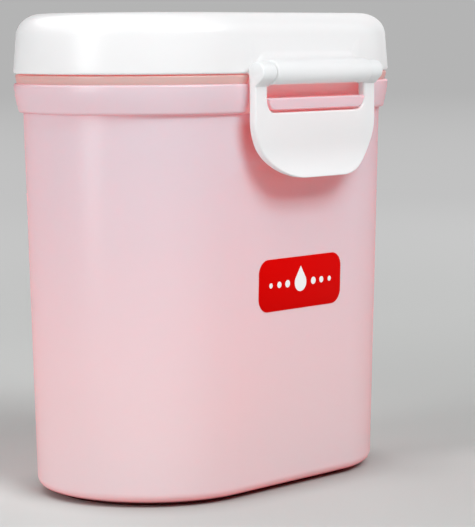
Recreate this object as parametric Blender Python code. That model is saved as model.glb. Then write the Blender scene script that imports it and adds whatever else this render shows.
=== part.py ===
# Milk powder container: a pink stadium-shaped tub with a rim band, a white domed lid,
# a white flip latch at the front and a small red label on the front wall.
# Metres, +Z up, origin at the middle of the foot's underside, latch towards -Y.
import math

import bmesh
import bpy
from mathutils import Vector

# Driving dimensions
LENGTH = 0.130                # rim and lid, along X
WIDTH = 0.080                 # rim and lid, along Y
HEIGHT = 0.1413               # foot to the crown of the lid
FOOT_HEIGHT = 0.0013
RIM_BOTTOM = 0.11235
RIM_TOP = 0.1208
NECK_TOP = 0.12335
LID_BOTTOM = 0.1237

# Tub wall, as distances in from the rim's outline
WALL_INSET = 0.00275          # just under the rim
WALL_DRAFT = 0.025            # inward lean for each metre of depth
FOOT_FILLET = 0.0030
FOOT_INSET = 0.0050           # foot, in from the wall
RIM_LIP_INSET = 0.0022        # rim's lower lip
RIM_LIP_FILLET = 0.0010
RIM_LEAN = 0.0010             # lean of the rim's face over its height
RIM_EDGE = 0.0006             # rounding of the rim's upper edge
NECK_TOP_INSET = 0.0005
NECK_FOOT_INSET = 0.0010      # the neck leans in towards the rim
NECK_EDGE = 0.0004

# Recess in the rim behind the latch
RECESS_HALF = 0.0260
RECESS_BACK = -0.0385         # Y of the recess's wall

# Hook rib that the latch snaps over
RIB_HALF = 0.0222
RIB_BOTTOM = 0.1131
RIB_TOP = 0.1166
RIB_FRONT = -0.0437
RIB_ROOT = -0.0350
RIB_LOWER_CORNER = 0.0032
RIB_UPPER_CORNER = 0.0007
RIB_EDGE = 0.0005

# Lid
LID_EDGE = 0.0007             # rounding of the lower edge
LID_LEAN = 0.0008             # lean of the lid's wall
LID_SHOULDER = 0.1344         # where the wall turns into the crown
CROWN_REACH = 0.0080          # crown's rounding, measured inwards
CROWN_EDGE_DROP = 0.0002      # crown's edge lies this far under its middle
CROWN_FLAT_INSET = 0.0290     # the middle inside this inset is flat

# Hinge along the lid's front
HINGE_Y = -0.0435
HINGE_Z = 0.1240
BARREL_RADIUS = 0.0036
BARREL_HALF = 0.0217
BARREL_ROOT = -0.0370
WEB_FILLET = 0.0028

# Latch
LATCH_HALF = 0.02765
LATCH_BOTTOM = 0.0935
LATCH_FRONT = -0.04345
LATCH_THICKNESS = 0.0026
LATCH_CORNER_X = 0.0192       # lower corners are quarter ellipses
LATCH_CORNER_Z = 0.0168
LATCH_ARM_TOP = 0.1232
FLARE_START = 0.1028          # below this the plate curls outwards
FLARE_RADIUS = 0.0145
SLOT_HALF = 0.0224
SLOT_BOTTOM = 0.1124
SLOT_CORNER = 0.0036
KNUCKLE_RADIUS = 0.0030
KNUCKLE_INNER = 0.0219
GUSSET_BOTTOM = 0.1200
LATCH_EDGE = 0.0005

# Label
LABEL_LENGTH = 0.038
LABEL_HEIGHT = 0.0154
LABEL_X = 0.0010
LABEL_Z = 0.0617
LABEL_CORNER = 0.0042
LABEL_THICKNESS = 0.0004
LABEL_GAP = 0.0003            # to the wall

END_STEPS = 28                # facets round each half-round end
CLEAR_OF_PART = 0.010         # how far a cutter runs past what it cuts

END_RADIUS = WIDTH / 2
END_CENTRE = (LENGTH - WIDTH) / 2

PINK = (0.80, 0.53, 0.56)
WHITE = (0.90, 0.90, 0.90)
RED = (0.66, 0.01, 0.01)


def clear_scene():
    for old in list(bpy.data.objects):
        bpy.data.objects.remove(old, do_unlink=True)


def plastic(name, colour, roughness):
    material = bpy.data.materials.new(name)
    material.use_nodes = True
    shader = material.node_tree.nodes["Principled BSDF"]
    shader.inputs["Base Color"].default_value = (*colour, 1.0)
    shader.inputs["Roughness"].default_value = roughness
    shader.inputs["Metallic"].default_value = 0.0
    return material


def arc(centre, radii, start, end, steps):
    """Points on an ellipse from one angle to another, in degrees."""
    points = []
    for step in range(steps + 1):
        angle = math.radians(start + (end - start) * step / steps)
        points.append((centre[0] + radii[0] * math.cos(angle),
                       centre[1] + radii[1] * math.sin(angle)))
    return points


def stadium(inset, height):
    """One level ring: two half-round ends joined by straight sides."""
    radius = END_RADIUS - inset
    ring = []
    for side in (1, -1):
        for step in range(END_STEPS + 1):
            angle = math.pi * (step / END_STEPS - 0.5)
            ring.append(Vector((side * (END_CENTRE + radius * math.cos(angle)),
                                side * radius * math.sin(angle), height)))
    return ring


def finish_object(name, shape, material):
    """Turns a bmesh into a named object with smooth round faces."""
    bmesh.ops.recalc_face_normals(shape, faces=shape.faces)
    mesh = bpy.data.meshes.new(name)
    shape.to_mesh(mesh)
    shape.free()
    mesh.shade_smooth()
    mesh.set_sharp_from_angle(angle=math.radians(35))
    if material:
        mesh.materials.append(material)
    obj = bpy.data.objects.new(name, mesh)
    bpy.context.collection.objects.link(obj)
    return obj


def loft(name, rings, material):
    """A closed skin over rings that all have the same number of points."""
    shape = bmesh.new()
    loops = [[shape.verts.new(point) for point in ring] for ring in rings]
    count = len(loops[0])
    for lower, upper in zip(loops, loops[1:]):
        for index in range(count):
            after = (index + 1) % count
            shape.faces.new((lower[index], lower[after], upper[after], upper[index]))
    shape.faces.new(list(reversed(loops[0])))
    shape.faces.new(loops[-1])
    return finish_object(name, shape, material)


def prism(name, outline, place, start, end, material=None):
    """Extrudes a flat outline; place turns (a, b, depth) into a point."""
    rings = [[Vector(place(a, b, depth)) for a, b in outline] for depth in (start, end)]
    return loft(name, rings, material)


def across_x(y, z, x):
    return (x, y, z)


def across_y(x, z, y):
    return (x, y, z)


def guide(tool):
    tool.hide_render = True
    tool.display_type = "WIRE"


def combine(target, tool, operation, solver="EXACT"):
    cut = target.modifiers.new(f"{operation.title()} {tool.name}", "BOOLEAN")
    cut.object = tool
    cut.operation = operation
    cut.solver = solver
    guide(tool)


def round_edges(obj, width, segments=2):
    bevel = obj.modifiers.new("Rounded edges", "BEVEL")
    bevel.width = width
    bevel.segments = segments
    bevel.use_clamp_overlap = False
    bevel.limit_method = "ANGLE"
    bevel.angle_limit = math.radians(50)


def wall_inset(height):
    """How far the tub's wall lies in from the rim's outline at a height."""
    return WALL_INSET + WALL_DRAFT * (RIM_BOTTOM - height)


def tub_profile():
    """(inset, height) from the foot up to the neck."""
    fillet_height = FOOT_HEIGHT + FOOT_FILLET
    fillet_inset = wall_inset(fillet_height) + FOOT_FILLET
    foot = wall_inset(0.0) + FOOT_INSET
    profile = [(foot, 0.0), (foot, FOOT_HEIGHT)]
    profile += arc((fillet_inset, fillet_height), (FOOT_FILLET, FOOT_FILLET), 270, 180, 5)
    profile.append((WALL_INSET, RIM_BOTTOM))
    lip = (RIM_LIP_INSET, RIM_BOTTOM + RIM_LIP_FILLET)
    profile += arc(lip, (RIM_LIP_FILLET, RIM_LIP_FILLET), 270, 180, 4)
    profile.append((RIM_LEAN * 0.55, RIM_BOTTOM + 0.45 * (RIM_TOP - RIM_BOTTOM)))
    edge = (RIM_EDGE, RIM_TOP - RIM_EDGE)
    profile += arc(edge, (RIM_EDGE, RIM_EDGE), 180, 90, 3)
    profile.append((NECK_FOOT_INSET, RIM_TOP))
    neck = (NECK_TOP_INSET + NECK_EDGE, NECK_TOP - NECK_EDGE)
    profile += arc(neck, (NECK_EDGE, NECK_EDGE), 180, 90, 3)
    return profile


def hook_outline(shrink):
    """The rib seen from the front: well rounded below, crisp above."""
    inner = RIB_HALF - RIB_LOWER_CORNER
    upper = RIB_HALF - RIB_UPPER_CORNER
    low = RIB_BOTTOM + RIB_LOWER_CORNER
    high = RIB_TOP - RIB_UPPER_CORNER
    lower_radii = [RIB_LOWER_CORNER - shrink] * 2
    upper_radii = [RIB_UPPER_CORNER - shrink] * 2
    outline = arc((inner, low), lower_radii, 270, 360, 6)
    outline += arc((upper, high), upper_radii, 0, 90, 2)
    outline += arc((-upper, high), upper_radii, 90, 180, 2)
    outline += arc((-inner, low), lower_radii, 180, 270, 6)
    return outline


def hook_rib():
    """Slices from inside the wall out to the rounded front edge."""
    rings = [[Vector((x, RIB_ROOT, z)) for x, z in hook_outline(0.0)]]
    for shrink, depth in arc((RIB_EDGE, RIB_EDGE), (RIB_EDGE, RIB_EDGE), 180, 270, 3):
        rings.append([Vector((x, RIB_FRONT + depth, z)) for x, z in hook_outline(shrink)])
    return loft("hook_rib", rings, None)


def build_tub(material):
    rings = [stadium(inset, height) for inset, height in tub_profile()]
    tub = loft("container_body", rings, material)
    recess = [(-RECESS_HALF, RIM_BOTTOM - 0.001), (RECESS_HALF, RIM_BOTTOM - 0.001),
              (RECESS_HALF, NECK_TOP + CLEAR_OF_PART), (-RECESS_HALF, NECK_TOP + CLEAR_OF_PART)]
    cutter = prism("recess_cutter", recess, across_y, RECESS_BACK, -END_RADIUS - CLEAR_OF_PART)
    combine(tub, cutter, "DIFFERENCE")
    combine(tub, hook_rib(), "UNION", solver="MANIFOLD")
    return tub


def lid_profile():
    """(inset, height) from the lid's lower edge to its crown."""
    profile = arc((LID_EDGE, LID_BOTTOM + LID_EDGE), (LID_EDGE, LID_EDGE), 270, 180, 3)
    crown_edge = HEIGHT - CROWN_EDGE_DROP
    profile += arc((LID_LEAN + CROWN_REACH, LID_SHOULDER),
                   (CROWN_REACH, crown_edge - LID_SHOULDER), 180, 90, 9)
    start = LID_LEAN + CROWN_REACH
    for share in (0.5, 1.0):
        inset = start + share * (CROWN_FLAT_INSET - start)
        profile.append((inset, HEIGHT - CROWN_EDGE_DROP * (1 - share) ** 2))
    return profile


def barrel_outline():
    """The lid's hinge barrel from the side, with the fillet that carries it."""
    fillet_y = HINGE_Y + 0.0012
    fillet_z = HINGE_Z + BARREL_RADIUS + WEB_FILLET
    outline = arc((HINGE_Y, HINGE_Z), (BARREL_RADIUS, BARREL_RADIUS), 360, 90, 18)
    outline += arc((fillet_y, fillet_z), (WEB_FILLET, WEB_FILLET), 270, 360, 5)
    outline.append((BARREL_ROOT, fillet_z))
    outline.append((BARREL_ROOT, HINGE_Z))
    return outline


def build_lid(material):
    rings = [stadium(inset, height) for inset, height in lid_profile()]
    lid = loft("lid", rings, material)
    barrel = prism("hinge_barrel", barrel_outline(), across_x, -BARREL_HALF, BARREL_HALF)
    combine(lid, barrel, "UNION")
    return lid


def flare(height):
    """How far the plate's lower end curls outwards at a height."""
    depth = max(0.0, FLARE_START - height)
    return FLARE_RADIUS - math.sqrt(FLARE_RADIUS ** 2 - depth ** 2)


def latch_plate(material):
    """Level slices from the flat lower edge, round the corners, up to the hinge."""
    corner = arc((LATCH_HALF - LATCH_CORNER_X, LATCH_BOTTOM + LATCH_CORNER_Z),
                 (LATCH_CORNER_X, LATCH_CORNER_Z), 270, 360, 14)
    slices = corner + [(LATCH_HALF, LATCH_ARM_TOP)]
    rings = []
    for half, height in slices:
        front = LATCH_FRONT - flare(height)
        back = front + LATCH_THICKNESS
        rings.append([Vector((-half, front, height)), Vector((half, front, height)),
                      Vector((half, back, height)), Vector((-half, back, height))])
    return loft("latch", rings, material)


def slot_outline():
    inner = SLOT_HALF - SLOT_CORNER
    low = SLOT_BOTTOM + SLOT_CORNER
    radii = (SLOT_CORNER, SLOT_CORNER)
    top = LATCH_ARM_TOP + CLEAR_OF_PART
    return (arc((inner, low), radii, 270, 360, 6) + [(SLOT_HALF, top), (-SLOT_HALF, top)]
            + arc((-inner, low), radii, 180, 270, 6))


def knuckle_outline():
    """The end of an arm from the side: a round eye with a gusset below it."""
    back = LATCH_FRONT + LATCH_THICKNESS
    outline = [(back, GUSSET_BOTTOM), (LATCH_FRONT, GUSSET_BOTTOM)]
    outline += arc((HINGE_Y, HINGE_Z), (KNUCKLE_RADIUS, KNUCKLE_RADIUS), 220, 0, 16)
    outline.append((back, HINGE_Z - 0.5 * KNUCKLE_RADIUS))
    return outline


def build_latch(material):
    latch = latch_plate(material)
    slot = prism("slot_cutter", slot_outline(), across_y,
                 LATCH_FRONT - CLEAR_OF_PART, LATCH_FRONT + CLEAR_OF_PART)
    combine(latch, slot, "DIFFERENCE")
    for side in (-1, 1):
        ends = sorted((side * KNUCKLE_INNER, side * LATCH_HALF))
        eye = prism(f"knuckle_{'right' if side > 0 else 'left'}", knuckle_outline(),
                    across_x, *ends)
        combine(latch, eye, "UNION")
    round_edges(latch, LATCH_EDGE)
    return latch


def build_label(material):
    """A thin rounded plate that leans with the front wall."""
    half = LABEL_LENGTH / 2 - LABEL_CORNER
    rise = LABEL_HEIGHT / 2 - LABEL_CORNER
    radii = (LABEL_CORNER, LABEL_CORNER)
    outline = []
    for quarter, (x, z) in enumerate(((half, rise), (-half, rise), (-half, -rise), (half, -rise))):
        outline += arc((x, z), radii, 90 * quarter, 90 * quarter + 90, 6)
    label = prism("label", outline, across_y, -LABEL_GAP, -LABEL_GAP - LABEL_THICKNESS, material)
    label.location = (LABEL_X, wall_inset(LABEL_Z) - END_RADIUS, LABEL_Z)
    label.rotation_euler = (math.atan(WALL_DRAFT), 0.0, 0.0)
    return label


def build():
    clear_scene()
    pink = plastic("Pink plastic", PINK, 0.22)
    white = plastic("White plastic", WHITE, 0.25)
    red = plastic("Red label", RED, 0.35)
    build_tub(pink)
    build_lid(white)
    build_latch(white)
    build_label(red)


build()
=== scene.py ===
import math
import bmesh
import bpy
from mathutils import Matrix, Vector


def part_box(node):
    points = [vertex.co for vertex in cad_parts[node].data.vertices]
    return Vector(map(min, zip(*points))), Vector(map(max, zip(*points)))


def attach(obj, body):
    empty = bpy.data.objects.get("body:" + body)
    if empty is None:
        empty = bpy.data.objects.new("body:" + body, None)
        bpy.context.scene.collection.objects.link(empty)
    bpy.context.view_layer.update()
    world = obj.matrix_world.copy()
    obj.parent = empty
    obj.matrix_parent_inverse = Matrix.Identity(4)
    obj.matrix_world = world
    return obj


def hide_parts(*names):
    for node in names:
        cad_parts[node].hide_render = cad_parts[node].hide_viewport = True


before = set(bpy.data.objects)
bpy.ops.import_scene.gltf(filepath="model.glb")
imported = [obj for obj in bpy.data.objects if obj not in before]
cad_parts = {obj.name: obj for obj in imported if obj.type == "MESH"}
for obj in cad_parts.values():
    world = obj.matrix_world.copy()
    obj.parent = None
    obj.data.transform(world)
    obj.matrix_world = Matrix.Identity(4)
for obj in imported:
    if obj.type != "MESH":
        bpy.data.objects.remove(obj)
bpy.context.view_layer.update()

tubLow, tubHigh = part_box("container_body")
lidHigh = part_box("lid")[1]
latchLow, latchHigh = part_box("latch")
labelLow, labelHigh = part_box("label")
halfWidth = tubHigh.y                    # of the rim and the lid, across the short way
endCentre = tubHigh.x - tubHigh.y        # the round ends turn about x = +-endCentre

samePlace = 0.00001                      # two things nearer than this are at one place
weldReach = 0.000002                     # two points nearer than this are welded
realLength = 0.001                       # an edge that goes further than this along an axis runs along it


# Small helpers for working in edit mode by code

def deselectAll():
    if bpy.context.object and bpy.context.object.mode == "EDIT":
        bpy.ops.object.mode_set(mode="OBJECT")
    bpy.ops.object.select_all(action="DESELECT")


def makeActive(piece):
    deselectAll()
    piece.select_set(True)
    bpy.context.view_layer.objects.active = piece


def editMode(piece):
    makeActive(piece)
    bpy.ops.object.mode_set(mode="EDIT")


def objectMode():
    bpy.ops.object.mode_set(mode="OBJECT")


def pickAll():
    bpy.ops.mesh.select_all(action="SELECT")


def pick(kind, test):
    # kind is VERT, EDGE or FACE; test says which ones are picked
    bpy.ops.mesh.select_mode(type=kind)
    bpy.ops.mesh.select_all(action="DESELECT")
    mesh = bpy.context.object.data
    form = bmesh.from_edit_mesh(mesh)
    for item in {"VERT": form.verts, "EDGE": form.edges, "FACE": form.faces}[kind]:
        item.select_set(bool(test(item)))
    form.select_flush_mode()
    bmesh.update_edit_mesh(mesh)


def runsAcross(edge):
    # through the thickness of an upright plate or bar
    return abs(edge.verts[0].co.y - edge.verts[1].co.y) > realLength


def extrude(step):
    bpy.ops.mesh.extrude_region_move(TRANSFORM_OT_translate={"value": step})


def faceOutwards():
    pickAll()
    bpy.ops.mesh.normals_make_consistent(inside=False)


def fillOutline():
    pickAll()
    bpy.ops.mesh.edge_face_add()


def drawOut(step):
    # a closed outline is filled and drawn out to a solid
    fillOutline()
    extrude(step)
    faceOutwards()


def roundOutline(test, offset, segments):
    # rounds the edges all round the faces that the test picks
    pick("FACE", test)
    bpy.ops.mesh.region_to_loop()
    bpy.ops.mesh.bevel(offset=offset, segments=segments)


def applyPlace():
    bpy.ops.object.transform_apply(location=True, rotation=True, scale=True)


def sized(name, size):
    # the primitive that was just added gets its name and its size
    piece = bpy.context.object
    piece.name = piece.data.name = name
    piece.scale = size
    applyPlace()
    return piece


def addBlock(name, size, place):
    deselectAll()
    bpy.ops.mesh.primitive_cube_add(size=1, location=place)
    return sized(name, size)


def addUpright(name, width, height, place):
    # a flat sheet that faces the front
    deselectAll()
    bpy.ops.mesh.primitive_plane_add(size=1, location=place, rotation=(math.pi / 2, 0, 0))
    return sized(name, (width, height, 1))


def applyModifiers(piece):
    makeActive(piece)
    for modifier in list(piece.modifiers):
        bpy.ops.object.modifier_apply(modifier=modifier.name)


def settle(piece, smoothAngle=32):
    # puts the piece's place into its mesh and smooths its round faces
    makeActive(piece)
    applyPlace()
    bpy.ops.object.shade_smooth_by_angle(angle=math.radians(smoothAngle))


def joinWith(piece, tool, operation, solver="EXACT"):
    # one boolean, applied at once; the tool goes
    change = piece.modifiers.new(operation, "BOOLEAN")
    change.object = tool
    change.operation = operation
    change.solver = solver
    applyModifiers(piece)
    bpy.data.objects.remove(tool, do_unlink=True)


def arcPoints(centre, radius, start, end, steps, rise=None):
    # rise is the second radius, where the arc isn't part of a circle
    points = []
    for step in range(steps + 1):
        angle = math.radians(start + (end - start) * step / steps)
        points.append((centre[0] + radius * math.cos(angle), centre[1] + (rise or radius) * math.sin(angle)))
    return points


def extrudeChain(name, points):
    # a chain of edges, drawn by extruding one point along the others
    deselectAll()
    bpy.ops.mesh.primitive_circle_add(vertices=3, radius=0.001, location=(0, 0, 0))
    chain = bpy.context.object
    chain.name = chain.data.name = name
    bpy.ops.object.mode_set(mode="EDIT")
    bpy.ops.mesh.select_mode(type="VERT")
    pickAll()
    bpy.ops.mesh.merge(type="CENTER")
    bpy.ops.transform.translate(value=points[0])
    for before, after in zip(points, points[1:]):
        extrude([b - a for a, b in zip(before, after)])
    return chain


def turnedStadium(name, profile, steps):
    # profile is (radius, height) from the bottom's middle up to the top's middle;
    # half an end is spun, drawn out to the middle and mirrored
    shell = extrudeChain(name, [(0, -radius, height) for radius, height in profile])
    pickAll()
    bpy.ops.mesh.spin(steps=steps, angle=math.pi, center=(0, 0, 0), axis=(0, 0, -1))
    pickAll()
    bpy.ops.mesh.remove_doubles(threshold=weldReach)
    pickAll()
    bpy.ops.transform.translate(value=(endCentre, 0, 0))
    pick("EDGE", lambda edge: edge.is_boundary)
    extrude((-endCentre, 0, 0))
    objectMode()
    mirror = shell.modifiers.new("Mirror", "MIRROR")
    mirror.use_axis = (True, False, False)
    mirror.merge_threshold = samePlace
    applyModifiers(shell)
    editMode(shell)
    pickAll()
    bpy.ops.mesh.remove_doubles(threshold=weldReach)
    faceOutwards()
    objectMode()
    return shell


def dress(piece, material):
    piece.data.materials.clear()
    piece.data.materials.append(material)
    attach(piece, "root")


# The tub: foot, wall, rim band and neck are one turned profile

tub = {
    "spinSteps": 64,
    "footHeight": 0.0013,
    "footInset": 0.0050,          # in from the wall
    "footFillet": 0.0030,
    "footChamfer": 0.0004,
    "wallInset": 0.00275,         # in from the rim, just under it
    "wallDraft": 0.025,
    "rimBottom": 0.11235,
    "rimTop": 0.1208,
    "lipInset": 0.0022,
    "lipFillet": 0.0010,
    "rimBelly": 0.00055,
    "bellyShare": 0.45,           # of the rim's height
    "rimEdge": 0.0006,
    "neckTopInset": 0.0005,
    "neckFootInset": 0.0010,      # the neck leans in towards the rim
    "neckEdge": 0.0004,
    "recessHalf": 0.0260,
    "recessBack": 0.0385,
    "recessCorner": 0.0004,
    "recessMouth": 0.0005,        # the rounding of the rim's two ends beside it
    "mouthInset": 0.0001,         # in from the rim's face
    "cutterUnder": 0.001,         # how far the cutter reaches past the rim, downwards
    "cutterOver": 0.010,          # and past the front and the neck
}

rib = {
    "half": 0.0222,
    "bottom": 0.1131,
    "top": 0.1166,
    "root": 0.0350,
    "lowerCorner": 0.0032,
    "upperCorner": 0.0007,
    "edge": 0.0005,
}


def wallInset(height):
    return tub["wallInset"] + tub["wallDraft"] * (tub["rimBottom"] - height)


def tubProfile():
    # inset from the rim's face, and height
    filletTop = tub["footHeight"] + tub["footFillet"]
    foot = wallInset(0) + tub["footInset"]
    points = [(halfWidth, 0), (foot + tub["footChamfer"], 0)]
    points += [(foot, tub["footChamfer"]), (foot, tub["footHeight"])]
    points += arcPoints((wallInset(filletTop) + tub["footFillet"], filletTop),
                        tub["footFillet"], 270, 180, 10)
    for share in (0.25, 0.5, 0.75):
        height = filletTop + share * (tub["rimBottom"] - filletTop)
        points.append((wallInset(height), height))
    points.append((tub["wallInset"], tub["rimBottom"]))
    points += arcPoints((tub["lipInset"], tub["rimBottom"] + tub["lipFillet"]),
                        tub["lipFillet"], 262, 188, 7)
    belly = tub["rimBottom"] + tub["bellyShare"] * (tub["rimTop"] - tub["rimBottom"])
    points.append((tub["rimBelly"], belly))
    points += arcPoints((tub["rimEdge"], tub["rimTop"] - tub["rimEdge"]), tub["rimEdge"], 180, 90, 5)
    points.append((tub["neckFootInset"], tub["rimTop"]))
    points += arcPoints((tub["neckTopInset"] + tub["neckEdge"], tubHigh.z - tub["neckEdge"]),
                        tub["neckEdge"], 180, 90, 5)
    points.append((halfWidth, tubHigh.z))
    return [(halfWidth - inset, height) for inset, height in points]


def cutRecess(shell):
    # the rim is cut away behind the latch; the cut's mouth widens, which rounds the rim's two ends
    half, back, corner, mouth = tub["recessHalf"], tub["recessBack"], tub["recessCorner"], tub["recessMouth"]
    front = halfWidth - tub["mouthInset"]
    low, high = tub["rimBottom"] - tub["cutterUnder"], tubHigh.z + tub["cutterOver"]
    side = arcPoints((half - corner, -back - corner), corner, 90, 0, 3)
    side += arcPoints((half + mouth, mouth - front), mouth, 180, 270, 6)
    side.append((half + mouth, -halfWidth - tub["cutterOver"]))
    outline = side + [(-x, y) for x, y in reversed(side)]
    cutter = extrudeChain("recessCutter", [(x, y, low) for x, y in outline])
    drawOut((0, 0, high - low))
    objectMode()
    joinWith(shell, cutter, "DIFFERENCE")


def buildRib():
    # a bar that stands out of the recess, with round lower corners
    front = -tubLow.y
    low, high = rib["bottom"], rib["top"]
    bar = addBlock("hookRib", (2 * rib["half"], front - rib["root"], high - low),
                   (0, -(front + rib["root"]) / 2, (low + high) / 2))
    editMode(bar)
    for corner, segments, height in ((rib["lowerCorner"], 10, low), (rib["upperCorner"], 4, high)):
        pick("EDGE", lambda edge: runsAcross(edge) and abs(edge.verts[0].co.z - height) < samePlace)
        bpy.ops.mesh.bevel(offset=corner, segments=segments)
    roundOutline(lambda face: face.normal.y < -0.9, rib["edge"], 4)
    objectMode()
    return bar


def buildTub():
    shell = turnedStadium("tubShell", tubProfile(), tub["spinSteps"])
    cutRecess(shell)
    joinWith(shell, buildRib(), "UNION", "MANIFOLD")
    settle(shell)
    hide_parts("container_body")
    print("tub built:", len(shell.data.polygons), "faces")
    return shell


# The lid: a turned profile with the hinge barrel on its front

lid = {
    "spinSteps": 64,
    "edge": 0.0007,
    "lean": 0.0008,               # its wall leans in by this up to the shoulder
    "shoulder": 0.1344,
    "crownReach": 0.0080,
    "crownDrop": 0.0002,          # from the middle of the top to the crown's rounding
    "bottom": 0.1237,
    "flatInset": 0.0290,
}

hinge = {
    "y": -0.0435,
    "z": 0.1240,
    "barrelRadius": 0.0036,
    "barrelHalf": 0.0218,
    "barrelEdge": 0.0005,
    "knuckleRadius": 0.0030,
    "knuckleInner": 0.0219,
    "webFillet": 0.0028,
    "webForward": 0.0012,         # where the fillet meets the barrel, behind its middle line
    "webSink": 0.0012,            # how deep the web goes into the barrel
    "webLip": (0.0004, 0.00002),  # its front end: past the fillet's foot, and under the barrel's top
    "webRoot": -0.0370,
    "webInset": 0.0020,           # its straight part ends this far in from the barrel's ends
    "webReach": 0.0052,           # how far its ends run out from there
    "webRows": 12,
    "webEnd": 0.03,               # what is left of its size there
    "webShrinkInset": 0.0005,     # its ends shrink towards a line this far inside the lid's face
}


def lidProfile():
    # inset from the lid's face, and height
    points = [(halfWidth, lid["bottom"])]
    points += arcPoints((lid["edge"], lid["bottom"] + lid["edge"]), lid["edge"], 270, 180, 6)
    start, drop = lid["lean"] + lid["crownReach"], lid["crownDrop"]
    points += arcPoints((start, lid["shoulder"]), lid["crownReach"], 180, 90, 18,
                        rise=lidHigh.z - drop - lid["shoulder"])
    for share in (0.25, 0.5, 0.75, 1.0):
        points.append((start + share * (lid["flatInset"] - start), lidHigh.z - drop * (1 - share) ** 2))
    points.append((halfWidth, lidHigh.z))
    return [(halfWidth - inset, height) for inset, height in points]


def addBarrel(shell):
    deselectAll()
    bpy.ops.mesh.primitive_cylinder_add(
        vertices=64, radius=hinge["barrelRadius"], depth=2 * hinge["barrelHalf"],
        location=(0, hinge["y"], hinge["z"]), rotation=(0, math.pi / 2, 0))
    barrel = bpy.context.object
    applyPlace()
    editMode(barrel)
    roundOutline(lambda face: abs(face.normal.x) > 0.9, hinge["barrelEdge"], 3)
    objectMode()
    joinWith(shell, barrel, "UNION")


def addWeb(shell):
    # the hollow fillet above the barrel; its ends run out along the lid's wall
    top = hinge["z"] + hinge["barrelRadius"]
    under = top - hinge["webSink"]
    fillet, filletY = hinge["webFillet"], hinge["y"] + hinge["webForward"]
    lip, lipDrop = hinge["webLip"]
    section = [(hinge["webRoot"], under), (filletY - lip, under), (filletY - lip, top - lipDrop)]
    section += arcPoints((filletY, top + fillet), fillet, 270, 360, 12)
    section.append((hinge["webRoot"], top + fillet))
    straight, reach, rows = hinge["barrelHalf"] - hinge["webInset"], hinge["webReach"], hinge["webRows"]
    web = extrudeChain("hingeWeb", [(-straight, y, z) for y, z in section])
    drawOut((2 * straight, 0, 0))
    root = (0, -halfWidth + hinge["webShrinkInset"], under)

    def size(row):
        half = (1 - hinge["webEnd"]) / 2
        return hinge["webEnd"] + half + half * math.cos(math.pi * row / rows)

    for side in (1, -1):
        for row in range(rows):
            before, after = [straight + reach * step / rows for step in (row, row + 1)]
            pick("FACE", lambda face: all(abs(side * vert.co.x - before) < samePlace for vert in face.verts))
            extrude((side * (after - before), 0, 0))
            shrink = size(row + 1) / size(row)
            bpy.ops.transform.resize(value=(1, shrink, shrink), center_override=root)
    objectMode()
    joinWith(shell, web, "UNION")


def buildLid():
    shell = turnedStadium("lidShell", lidProfile(), lid["spinSteps"])
    addBarrel(shell)
    addWeb(shell)
    settle(shell)
    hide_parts("lid")
    print("lid built:", len(shell.data.polygons), "faces")
    return shell


# The latch: a flat plate with a slot, two eyes and a lip that curls outwards

latch = {
    "front": -0.04345,
    "thickness": 0.0026,
    "cornerX": 0.0192,
    "cornerZ": 0.0168,
    "cornerSteps": 28,
    "armTop": 0.1232,
    "slotHalf": 0.0224,
    "slotBottom": 0.1124,
    "slotCorner": 0.0036,
    "slotOver": 0.010,            # how far its cutter reaches past the arms' tops
    "slotThrough": 0.02,          # and its depth
    "flareStart": 0.1028,
    "flareRadius": 0.0145,
    "gussetBottom": 0.1200,
    "edge": 0.0006,
    "eyeInset": 0.00005,          # the eyes stay inside the plate's two faces, so that no two faces meet
    "eyeSideInset": 0.00002,
    "eyeEdge": 0.0004,
    "eyeSeam": 0.0001,            # the same edge beside the barrel
    "curlRows": 16,
    "smoothAngle": 40,
}


def latchPlate():
    # a plane with two round lower corners, made thick and slotted, then rounded all along its outlines
    half = latchHigh.x
    narrow = half * latch["cornerZ"] / latch["cornerX"]     # widened again once the corners are round
    bottom, top = latchLow.z, latch["armTop"]
    plate = addUpright("latchPlate", 2 * narrow, top - bottom, (0, latch["front"], (bottom + top) / 2))
    editMode(plate)
    pick("VERT", lambda vert: vert.co.z < bottom + realLength)
    bpy.ops.mesh.bevel(offset=latch["cornerZ"], segments=latch["cornerSteps"], affect="VERTICES")
    pickAll()
    bpy.ops.transform.resize(value=(half / narrow, 1, 1), center_override=(0, 0, 0))
    extrude((0, latch["thickness"], 0))
    faceOutwards()
    objectMode()
    cutSlot(plate)
    editMode(plate)
    for facing in (-1, 1):
        roundOutline(lambda face: face.normal.y * facing > 0.99, latch["edge"], 4)
    objectMode()
    return plate


def cutSlot(plate):
    bottom, top = latch["slotBottom"], latch["armTop"] + latch["slotOver"]
    cutter = addBlock("slotCutter", (2 * latch["slotHalf"], latch["slotThrough"], top - bottom),
                      (0, latch["front"], (bottom + top) / 2))
    editMode(cutter)
    pick("EDGE", lambda edge: runsAcross(edge)
         and all(vert.co.z < bottom + realLength for vert in edge.verts))
    bpy.ops.mesh.bevel(offset=latch["slotCorner"], segments=10)
    objectMode()
    joinWith(plate, cutter, "DIFFERENCE")


def curlLip(plate):
    # the lower plate is cut into level rows, and every level is moved outwards along one arc
    def flare(height):
        depth = max(0, latch["flareStart"] - height)
        return latch["flareRadius"] - math.sqrt(latch["flareRadius"] ** 2 - depth ** 2)

    editMode(plate)
    for row in range(1, latch["curlRows"] + 1):
        level = latchLow.z + (latch["flareStart"] - latchLow.z) * row / latch["curlRows"]
        pickAll()
        bpy.ops.mesh.bisect(plane_co=(0, 0, level), plane_no=(0, 0, 1))
    form = bmesh.from_edit_mesh(plate.data)
    levels = sorted({round(vert.co.z, 6) for vert in form.verts if vert.co.z < latch["flareStart"]})
    for level in levels:
        pick("VERT", lambda vert: round(vert.co.z, 6) == level)
        bpy.ops.transform.translate(value=(0, -flare(level), 0))
    objectMode()


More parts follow.
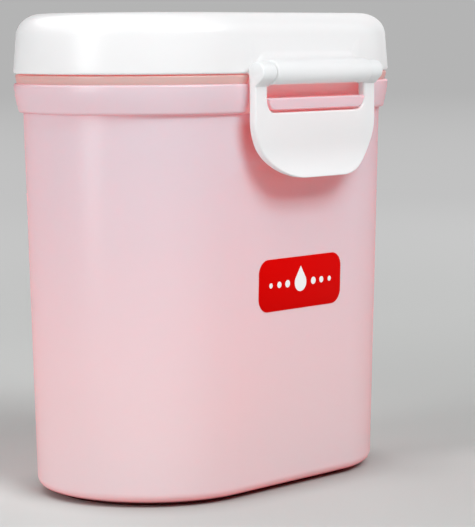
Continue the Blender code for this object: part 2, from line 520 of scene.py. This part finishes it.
def addEyes(plate):
    # each arm ends in a round eye, drawn down to the plate's face by a gusset
    front = latch["front"] + latch["eyeInset"]
    back = latch["front"] + latch["thickness"] - latch["eyeInset"]
    radius, bottom = hinge["knuckleRadius"], latch["gussetBottom"]
    outline = [(back, bottom), (front, bottom)]
    outline += arcPoints((hinge["y"], hinge["z"]), radius, 220, 0, 32)
    outline.append((back, hinge["z"] - radius / 2))
    for side in (-1, 1):
        inner, outer = side * hinge["knuckleInner"], side * (latchHigh.x - latch["eyeSideInset"])
        eye = extrudeChain("latchEye", [(inner, y, z) for y, z in outline])
        drawOut((outer - inner, 0, 0))
        for facing, edge in ((side, latch["eyeEdge"]), (-side, latch["eyeSeam"])):
            roundOutline(lambda face: face.normal.x * facing > 0.99, edge, 4)
        objectMode()
        joinWith(plate, eye, "UNION", "MANIFOLD")


def buildLatch():
    plate = latchPlate()
    curlLip(plate)
    addEyes(plate)
    settle(plate, latch["smoothAngle"])
    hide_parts("latch")
    print("latch built:", len(plate.data.polygons), "faces")
    return plate


# The label: a thin film on the front wall, with a plain motif of a drop and dots

label = {
    "corner": 0.0042,
    "thickness": 0.00015,
    "sink": 0.00003,              # into the wall, so that no gap shows
    "edge": 0.00006,
    "motifRise": 0.00003,
    "motifSink": 0.00001,         # into the film
    "dropRadius": 0.0027,
    "dropTip": 0.0049,            # above the middle of its round part
    "dotRadii": (0.0011, 0.00094, 0.00077),
    "firstDot": 0.0060,
    "dotSpacing": 0.0038,
}


def onWall(piece):
    # leans a flat piece, modelled about the origin, onto the tub's front wall
    middle = (labelLow + labelHigh) / 2
    piece.rotation_euler = (math.atan(tub["wallDraft"]), 0, 0)
    piece.location = (middle.x, wallInset(middle.z) - halfWidth, middle.z)


def buildLabel():
    size = labelHigh - labelLow
    film = addUpright("labelFilm", size.x, size.z, (0, 0, 0))
    editMode(film)
    pickAll()
    bpy.ops.mesh.bevel(offset=label["corner"], segments=12, affect="VERTICES")
    pickAll()
    bpy.ops.transform.translate(value=(0, label["sink"], 0))
    extrude((0, -label["thickness"], 0))
    bpy.ops.mesh.region_to_loop()
    bpy.ops.mesh.bevel(offset=label["edge"], segments=2)
    faceOutwards()
    objectMode()
    onWall(film)
    settle(film)
    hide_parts("label")
    return film


def flatDisc(radius, x):
    deselectAll()
    bpy.ops.mesh.primitive_circle_add(vertices=40, radius=radius, fill_type="NGON", location=(x, 0, 0),
                                      rotation=(math.pi / 2, 0, 0))
    applyPlace()
    return bpy.context.object


def flatDrop(radius, tip):
    # the straight sides touch the round part where its outline has turned towards the tip
    turn = 90 - math.degrees(math.acos(radius / tip))
    outline = [(0, tip)] + arcPoints((0, 0), radius, turn, -180 - turn, 32)
    drop = extrudeChain("labelMotif", [(x, 0, z) for x, z in outline])
    fillOutline()
    objectMode()
    return drop


def buildMotif():
    # a drop between two rows of dots that grow smaller
    drop = flatDrop(label["dropRadius"], label["dropTip"])
    dots = []
    for side in (-1, 1):
        for place, radius in enumerate(label["dotRadii"]):
            dots.append(flatDisc(radius, side * (label["firstDot"] + label["dotSpacing"] * place)))
    makeActive(drop)
    for dot in dots:
        dot.select_set(True)
    bpy.ops.object.join()
    editMode(drop)
    pickAll()
    bpy.ops.transform.translate(value=(0, label["sink"] - label["thickness"] + label["motifSink"], 0))
    extrude((0, -label["motifRise"] - label["motifSink"], 0))
    faceOutwards()
    objectMode()
    onWall(drop)
    settle(drop)
    print("label built")
    return drop


# Materials
# The walls are thin: part of the light comes straight back, and part goes through and shows again
# from inside. In the pink plastic that second part is nearly all red, so its lit faces are pale
# and its shaded ones deep.

pinkPlastic = {
    "name": "Pink plastic",
    "straightBack": (0.57, 0.895, 0.98),
    "lowDown": (0.82, 0.965, 1.0),      # the same near the foot
    "through": (1.50, 0.08, 0.10),
    "throughLow": (1.56, 0.40, 0.44),
    "lowRange": (0.002, 0.032),         # heights, as in all ranges here
    "wallShare": 0.42,                  # how much of the light goes through
    "foot": (0.045, 0.008, 0.008),      # painted shade: the rounding under the wall goes near black, where shade falls under the foot
    "footShadeRange": (0.0004, 0.0027),
    "neck": (0.50, 0.65, 0.61),         # painted shade: the neck under the lid, darker and more orange where the lid shades it
    # painted light: the neck's glow is less red, lifting the shade in the gap under the lid
    "neckThrough": (1.45, 0.38, 0.34),
    "neckRange": (0.1207, 0.1210),
    "recess": (0.92, 1.0, 1.0),         # painted light: the recess wall behind the latch, lifted lighter
    # painted light: the recess's glow, lighter and less red
    "recessThrough": (1.60, 0.95, 0.93),
    "recessUnder": 0.0002,              # its painted light starts this far under the rim, this far behind the rim's face, and this far outside the cut, and it ends here, in y
    "recessFront": (0.0008, 0.0014),    # this far behind the rim's face,
    "recessSides": (0.0006, 0.0002),    # and this far outside the cut,
    "recessEnd": (-0.030, -0.034),      # and it ends here, in y
    "corners": (0.74, 0.27, 0.18),      # painted shade: what is left of the colour where surfaces face each other
    "cornerSamples": 8,
    "cornerReach": (0.015, 0.0055),     # the painted shade's reach: below the latch, and beside it
    "reachRange": (0.0920, 0.0985),
    "cornerRange": (0.1080, 0.1115),    # up to the rim only
    "cornerLow": (0.010, 0.030),        # and not by the paper
    "gloss": 0.25,
    "glossChange": 0.05,
    "ripple": 0.3,
    "grain": 0.02,
}

whitePlastic = {
    "name": "White plastic",
    "straightBack": (0.90, 0.92, 0.93),
    "through": (0.93, 0.96, 0.955),
    "wallShare": 0.30,
    "gloss": 0.31,
    "glossChange": 0.05,
    "ripple": 0.3,
    "grain": 0.02,
}

redFilm = {
    "name": "Red film",
    "colour": (0.615, 0.001, 0.0005),
    "gloss": 0.5,
    "glossChange": 0.05,
    "ripple": 0.02,
    "grain": 0.05,
    "shine": 0.02,
}

whitePrint = {
    "name": "White print",
    "colour": (0.84, 0.83, 0.83),
    "gloss": 0.5,
    "glossChange": 0.05,
    "ripple": 0.0,
    "grain": 0.05,
    "shine": 0.2,
}

moulding = {
    "rippleScale": 22,
    "grainScale": 900,
    "detail": 1,
    "bump": 0.5,
    "bumpHeight": 0.0002,
}

white = (1.0, 1.0, 1.0)


def feed(tree, socket, value):
    # a socket takes a colour, a number or what another node gives
    if isinstance(value, tuple):
        socket.default_value = (*value, 1)
    elif isinstance(value, float):
        socket.default_value = value
    else:
        tree.links.new(value, socket)


def combine(tree, operation, first, second):
    node = tree.nodes.new("ShaderNodeMath")
    node.operation = operation
    feed(tree, node.inputs[0], first)
    feed(tree, node.inputs[1], second)
    return node.outputs[0]


def softStep(tree, value, low, high, first=0.0, last=1.0):
    # goes smoothly from first to last while the value goes from low to high
    node = tree.nodes.new("ShaderNodeMapRange")
    node.interpolation_type = "SMOOTHSTEP"
    for name, number in (("From Min", low), ("From Max", high), ("To Min", first), ("To Max", last)):
        node.inputs[name].default_value = number
    tree.links.new(value, node.inputs["Value"])
    return node.outputs["Result"]


def mixed(tree, kind, mask, first, second, how="MIX"):
    # goes from first to second as the mask rises; kind is RGBA or FLOAT
    node = tree.nodes.new("ShaderNodeMix")
    node.data_type = kind
    if kind == "RGBA":
        node.blend_type = how
    for name, value in (("Factor", mask), ("A", first), ("B", second)):
        feed(tree, [socket for socket in node.inputs if socket.name == name and socket.enabled][0], value)
    return [socket for socket in node.outputs if socket.enabled][0]


def mouldedSurface():
    # shared by all finishes: a slow ripple and a fine grain, in gloss and in height
    group = bpy.data.node_groups.new("Moulded surface", "ShaderNodeTree")
    for name in ("Gloss", "Gloss change", "Ripple", "Grain"):
        group.interface.new_socket(name, in_out="INPUT", socket_type="NodeSocketFloat")
    for name in ("Roughness", "Height"):
        group.interface.new_socket(name, in_out="OUTPUT", socket_type="NodeSocketFloat")
    start, end = group.nodes.new("NodeGroupInput"), group.nodes.new("NodeGroupOutput")
    place = group.nodes.new("ShaderNodeTexCoord")

    def noise(scale):
        node = group.nodes.new("ShaderNodeTexNoise")
        node.inputs["Scale"].default_value = scale
        node.inputs["Detail"].default_value = moulding["detail"]
        group.links.new(place.outputs["Object"], node.inputs["Vector"])
        return node.outputs["Fac"]

    slow, fine = noise(moulding["rippleScale"]), noise(moulding["grainScale"])
    change = combine(group, "MULTIPLY", combine(group, "SUBTRACT", slow, 0.5), start.outputs["Gloss change"])
    feed(group, end.inputs["Roughness"], combine(group, "ADD", change, start.outputs["Gloss"]))
    ripple = combine(group, "MULTIPLY", slow, start.outputs["Ripple"])
    grain = combine(group, "MULTIPLY", fine, start.outputs["Grain"])
    feed(group, end.inputs["Height"], combine(group, "ADD", ripple, grain))
    return group


def finish(facts, group):
    material = bpy.data.materials.new(facts["name"])
    material.use_nodes = True
    tree = material.node_tree
    nodes, links = tree.nodes, tree.links
    shader = nodes["Principled BSDF"]
    surface = nodes.new("ShaderNodeGroup")
    surface.node_tree = group
    for name, key in (("Gloss", "gloss"), ("Gloss change", "glossChange"),
                      ("Ripple", "ripple"), ("Grain", "grain")):
        surface.inputs[name].default_value = facts[key]
    bump = nodes.new("ShaderNodeBump")
    bump.inputs["Strength"].default_value = moulding["bump"]
    bump.inputs["Distance"].default_value = moulding["bumpHeight"]
    links.new(surface.outputs["Roughness"], shader.inputs["Roughness"])
    links.new(surface.outputs["Height"], bump.inputs["Height"])
    links.new(bump.outputs["Normal"], shader.inputs["Normal"])
    if "shine" in facts:
        shader.inputs["Base Color"].default_value = (*facts["colour"], 1)
        shader.inputs["Specular IOR Level"].default_value = facts["shine"]
        return material
    shader.inputs["Base Color"].default_value = (*facts["straightBack"], 1)
    glow, wall = nodes.new("ShaderNodeBsdfTranslucent"), nodes.new("ShaderNodeMixShader")
    glow.inputs["Color"].default_value = (*facts["through"], 1)
    wall.inputs["Fac"].default_value = facts["wallShare"]
    links.new(shader.outputs["BSDF"], wall.inputs[1])
    links.new(glow.outputs["BSDF"], wall.inputs[2])
    links.new(wall.outputs["Shader"], nodes["Material Output"].inputs["Surface"])
    if "neck" in facts:
        tubColourPaintedShadeAndLight(tree, shader.inputs["Base Color"], glow.inputs["Color"], facts)
    return material


def tubColourPaintedShadeAndLight(tree, baseSocket, glowSocket, facts):
    # the tub's colour changes with height towards the foot; painted shade darkens the foot near black,
    # the neck under the lid and the corner between latch and wall, and painted light lifts the recess
    place, split = tree.nodes.new("ShaderNodeTexCoord"), tree.nodes.new("ShaderNodeSeparateXYZ")
    tree.links.new(place.outputs["Object"], split.inputs[0])

    def along(axis, low, high, first=0.0, last=1.0):
        return softStep(tree, split.outputs[axis], low, high, first, last)

    def blend(mask, first, second, how="MIX"):
        return mixed(tree, "RGBA", mask, first, second, how)

    aboveFootShade = along("Z", *facts["footShadeRange"])
    wall = blend(along("Z", facts["footShadeRange"][1], tub["rimBottom"]), facts["lowDown"], facts["straightBack"])
    # painted shade: the neck under the lid is darker and more orange
    wall = blend(along("Z", *facts["neckRange"]), wall, facts["neck"])
    # painted shade: occlusion darkens and reddens the colour in the corner between latch and wall, below the
    # rim and above the paper
    cornerOcclusion = tree.nodes.new("ShaderNodeAmbientOcclusion")
    cornerOcclusion.samples = facts["cornerSamples"]
    feed(tree, cornerOcclusion.inputs["Distance"], along("Z", *facts["reachRange"], *facts["cornerReach"]))
    cornerShade = blend(cornerOcclusion.outputs["AO"], facts["corners"], white)
    cornerShade = blend(along("Z", *facts["cornerLow"]), white, cornerShade)
    cornerShade = blend(along("Z", *facts["cornerRange"]), cornerShade, white)
    wall = blend(1.0, wall, cornerShade, "MULTIPLY")
    # painted light: the recess behind the latch is lifted lighter and less red
    paintedRecessLight = along("Z", tub["rimBottom"] - facts["recessUnder"], tub["rimBottom"])
    behindFace = [inset - halfWidth for inset in facts["recessFront"]]
    besideCut = [tub["recessHalf"] + outside for outside in facts["recessSides"]]
    for axis, low, high in (("Y", *behindFace), ("Y", *facts["recessEnd"]),
                            ("X", *[-x for x in besideCut]), ("X", *besideCut)):
        paintedRecessLight = combine(tree, "MULTIPLY", paintedRecessLight, along(axis, low, high))
    wall = blend(paintedRecessLight, wall, facts["recess"])
    through = blend(along("Z", *facts["lowRange"]), facts["throughLow"], facts["through"])
    # painted light: the neck's glow is less red in the gap under the lid
    through = blend(along("Z", *facts["neckRange"]), through, facts["neckThrough"])
    through = blend(paintedRecessLight, through, facts["recessThrough"])
    # painted shade: below the foot's range the colour and the glow go near black
    feed(tree, baseSocket, blend(aboveFootShade, facts["foot"], wall))
    feed(tree, glowSocket, blend(aboveFootShade, facts["foot"], through))


# Studio
# A light stands "away" from the aim, turned "from" the front towards +x and up, in degrees.

studio = {
    "aim": (0, 0, 0.07),
    "away": 1.2,
    "frontSoft": {"from": (5, 40), "size": (0.42, 0.42), "power": 6.9},
    "frontLeftSoft": {"from": (-20, 40), "size": (0.42, 0.42), "power": 5.3},
    "highSoft": {"from": (-20, 58), "size": (0.42, 0.42), "power": 2.9},
    "leftStrip": {"from": (-100, 15), "size": (0.4, 0.9), "power": 8.7},
    "rightStrip": {"from": (70, 20), "size": (0.6, 0.8), "power": 1.1},
    "rightBack": {"from": (110, 20), "size": (0.6, 0.8), "power": 1.6},
    "leftBack": {"from": (-135, 25), "size": (0.8, 0.8), "power": 2.1},
    "backTop": {"from": (180, 50), "size": (0.8, 0.8), "power": 5.7},
}

# the paper's places and ranges are in metres from the middle of the tub's foot

stageFacts = {
    "size": 8.0,
    "paper": (0.51, 0.517, 0.510),
    "roughness": 0.8,
    "shine": 0.2,
    "fade": (0.10, 1.3),          # from here to there the paper's own light takes over
    "middle": 0.76,               # how strong that light is near the object
    "middleRange": (0.4, 1.3),
    "far": 0.54,                  # beyond it
    "farRange": (1.2, 5.0),
    "distance": 0.457,            # and at the far end, like the space behind the paper
    "contactReach": 0.012,        # the soft shade on the paper round the foot
    "contactShare": 0.32,
    "shadeLinePoint": (-0.0628, 0.0233),
    "shadeLineTurn": -23.5,            # the painted shade line across the paper, in degrees
    "shadeLineWidth": 0.03,
    "sideTurn": -49.1,            # from the line's left to its right the paper behind it goes from painted light to painted shade
    "sideRange": (-0.06, 0.07),
    "sideShades": (1.20, 0.82),
    "farShade": 1.05,
    "farReach": 0.35,
}

photoCamera = {
    "turn": 0.857,                # from straight at the front, in radians
    "pitch": 0.100,
    "roll": 0.0055,
    "back": 0.691034,             # along the line of sight's level part
    "aside": 0.009311,
    "height": 0.13433,
    "focalPixels": 2269.038,
    "longSide": 527,
    "sensor": 36.0,
    "clip": (0.01, 50),
}


def buildFloor():
    deselectAll()
    bpy.ops.mesh.primitive_plane_add(size=stageFacts["size"], location=(0, 0, 0))
    floor = bpy.context.object
    floor.name = floor.data.name = "studioFloor"
    floor.data.materials.append(palePaper())


def palePaper():
    material = bpy.data.materials.new("Pale paper")
    material.use_nodes = True
    tree = material.node_tree
    shader, place = tree.nodes["Principled BSDF"], tree.nodes.new("ShaderNodeTexCoord")
    shader.inputs["Roughness"].default_value = stageFacts["roughness"]
    shader.inputs["Specular IOR Level"].default_value = stageFacts["shine"]
    paper = paperPaintedShade(tree, place)
    contact = tree.nodes.new("ShaderNodeAmbientOcclusion")
    contact.inputs["Distance"].default_value = stageFacts["contactReach"]
    feed(tree, contact.inputs["Color"], paper)
    feed(tree, shader.inputs["Base Color"],
         mixed(tree, "RGBA", stageFacts["contactShare"], paper, contact.outputs["Color"]))
    addFarLight(tree, place, shader)
    return material


def paperPaintedShade(tree, place):
    # painted shade: a soft line across the paper, with the paper behind it painted lighter on the left,
    # against the object's own shadow, and darker on the right
    def along(degrees):
        # how far a point lies along a level direction
        turn = math.radians(degrees)
        direction = Vector((math.cos(turn), math.sin(turn), 0))
        node = tree.nodes.new("ShaderNodeVectorMath")
        node.operation = "DOT_PRODUCT"
        node.inputs[1].default_value = direction
        tree.links.new(place.outputs["Object"], node.inputs[0])
        return node.outputs["Value"], direction

    behind, direction = along(stageFacts["shadeLineTurn"] + 90)
    line, half = direction.dot(Vector((*stageFacts["shadeLinePoint"], 0))), stageFacts["shadeLineWidth"] / 2
    side = softStep(tree, along(stageFacts["sideTurn"])[0],
                    *stageFacts["sideRange"], *stageFacts["sideShades"])
    shade = mixed(tree, "FLOAT", softStep(tree, behind, line - half, line + half), 1.0, side)
    shade = mixed(tree, "FLOAT", softStep(tree, behind, line + half, line + stageFacts["farReach"]),
                  shade, stageFacts["farShade"])
    paper = tree.nodes.new("ShaderNodeVectorMath")
    paper.operation = "SCALE"
    paper.inputs[0].default_value = stageFacts["paper"]
    tree.links.new(shade, paper.inputs["Scale"])
    return paper.outputs["Vector"]


def addFarLight(tree, place, shader):
    # the far paper gives its own light, so that it runs into the space behind it with no edge
    distance = tree.nodes.new("ShaderNodeVectorMath")
    distance.operation = "LENGTH"
    tree.links.new(place.outputs["Object"], distance.inputs[0])
    reach = distance.outputs["Value"]
    far = softStep(tree, reach, *stageFacts["farRange"], stageFacts["far"], stageFacts["distance"])
    glow, blend = tree.nodes.new("ShaderNodeEmission"), tree.nodes.new("ShaderNodeMixShader")
    feed(tree, glow.inputs["Strength"],
         mixed(tree, "FLOAT", softStep(tree, reach, *stageFacts["middleRange"]), stageFacts["middle"], far))
    tree.links.new(softStep(tree, reach, *stageFacts["fade"]), blend.inputs["Fac"])
    tree.links.new(shader.outputs["BSDF"], blend.inputs[1])
    tree.links.new(glow.outputs["Emission"], blend.inputs[2])
    tree.links.new(blend.outputs["Shader"], tree.nodes["Material Output"].inputs["Surface"])


def addLight(name):
    facts = studio[name]
    lamp = bpy.data.lights.new(name, "AREA")
    lamp.shape = "RECTANGLE"
    lamp.size, lamp.size_y = facts["size"]
    lamp.energy = facts["power"]
    light = bpy.data.objects.new(name, lamp)
    bpy.context.scene.collection.objects.link(light)
    around, up = [math.radians(angle) for angle in facts["from"]]
    toward = Vector((math.sin(around) * math.cos(up), -math.cos(around) * math.cos(up), math.sin(up)))
    light.location = Vector(studio["aim"]) + toward * studio["away"]
    light.rotation_euler = (-toward).to_track_quat("-Z", "Y").to_euler()


def setWorld():
    # the space behind the paper shows only to the camera, so the lamps alone light the object
    world = bpy.data.worlds.new("Studio grey")
    world.use_nodes = True
    tree = world.node_tree
    background = tree.nodes["Background"]
    background.inputs["Color"].default_value = (*[stageFacts["distance"]] * 3, 1)
    path = tree.nodes.new("ShaderNodeLightPath")
    tree.links.new(path.outputs["Is Camera Ray"], background.inputs["Strength"])
    bpy.context.scene.world = world


def addCamera():
    data = bpy.data.cameras.new("Photo camera")
    data.sensor_width = photoCamera["sensor"]
    data.lens = photoCamera["focalPixels"] * photoCamera["sensor"] / photoCamera["longSide"]
    data.clip_start, data.clip_end = photoCamera["clip"]
    camera = bpy.data.objects.new("Photo camera", data)
    bpy.context.scene.collection.objects.link(camera)
    turn = Matrix.Rotation(-photoCamera["turn"], 4, "Z")
    place = turn @ Vector((photoCamera["aside"], -photoCamera["back"], photoCamera["height"]))
    look = turn @ Matrix.Rotation(math.pi / 2 - photoCamera["pitch"], 4, "X")
    camera.matrix_world = Matrix.Translation(place) @ look @ Matrix.Rotation(-photoCamera["roll"], 4, "Z")
    bpy.context.scene.camera = camera


def buildAll():
    surface = mouldedSurface()
    pinkFinish, whiteFinish, redFinish, printFinish = [
        finish(facts, surface) for facts in (pinkPlastic, whitePlastic, redFilm, whitePrint)]
    print("finishes ready")
    dress(buildTub(), pinkFinish)
    dress(buildLid(), whiteFinish)
    dress(buildLatch(), whiteFinish)
    dress(buildLabel(), redFinish)
    dress(buildMotif(), printFinish)


buildAll()
buildFloor()
for lightName, facts in studio.items():
    if isinstance(facts, dict):
        addLight(lightName)
setWorld()
addCamera()
bpy.context.scene.view_settings.view_transform = "Standard"
print("studio set")
